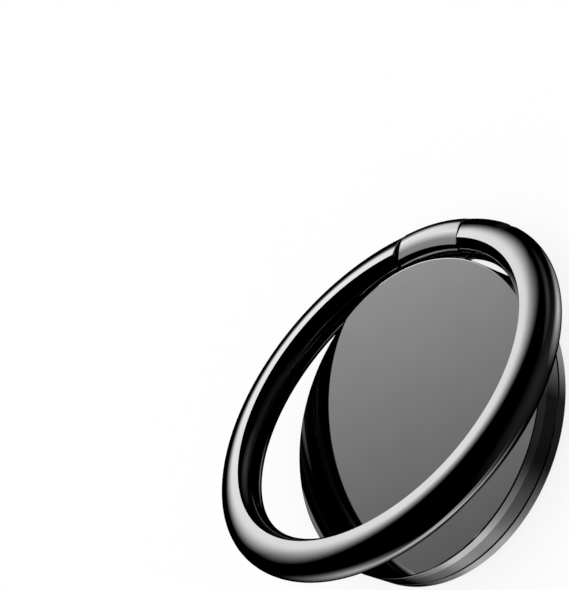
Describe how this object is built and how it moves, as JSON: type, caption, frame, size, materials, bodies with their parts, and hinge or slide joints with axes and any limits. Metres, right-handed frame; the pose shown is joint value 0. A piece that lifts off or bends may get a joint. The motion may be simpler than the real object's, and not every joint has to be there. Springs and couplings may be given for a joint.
{
  "type": "phone ring holder",
  "caption": "Stick-on round phone grip: a mirror disc that turns on its base, with a hinged finger ring that folds flat round it and holds its angle as a stand.",
  "frame": {"origin": "middle of the adhesive face on the back", "axes": "+Z out of the mirror face, +Y towards the hinge, X along the hinge pin"},
  "size_m": [0.041, 0.039, 0.0164],
  "materials": {
    "mirror_face": "mirror polished, dark",
    "body_black_chrome": "polished black chrome",
    "base_black_chrome": "polished black chrome",
    "ring_black_chrome": "polished black chrome",
    "pin_steel": "ground steel",
    "spring_steel": "spring steel",
    "rivet_steel": "zinc plated",
    "white_nylon": "natural",
    "black_nylon": "satin",
    "pad_foam": "foam tape"
  },
  "bodies": {
    "base": {"base_plate": "base_black_chrome", "adhesive_pad": "pad_foam", "pivot_rivet": "rivet_steel", "rivet_washer": "rivet_steel", "glide_washer": "white_nylon"},
    "swivel": {"swivel_body": "body_black_chrome", "face_plate": "mirror_face", "spring_washer": "spring_steel", "hinge_sleeve": "spring_steel"},
    "ring": {"finger_ring": "ring_black_chrome", "hinge_pin": "pin_steel", "hinge_washer_left": "black_nylon", "hinge_washer_right": "black_nylon"}
  },
  "joints": [
    {"name": "disc_turn", "type": "hinge", "parent": "base", "child": "swivel", "pos_m": [0, 0, 0.002], "axis": [0, 0, 1], "continuous": true},
    {"name": "ring_flip", "type": "hinge", "parent": "swivel", "child": "ring", "pos_m": [0, 0.01847, 0.00272], "axis": [-1, 0, 0], "range_deg": [-18.9, 161.1]}
  ]
}
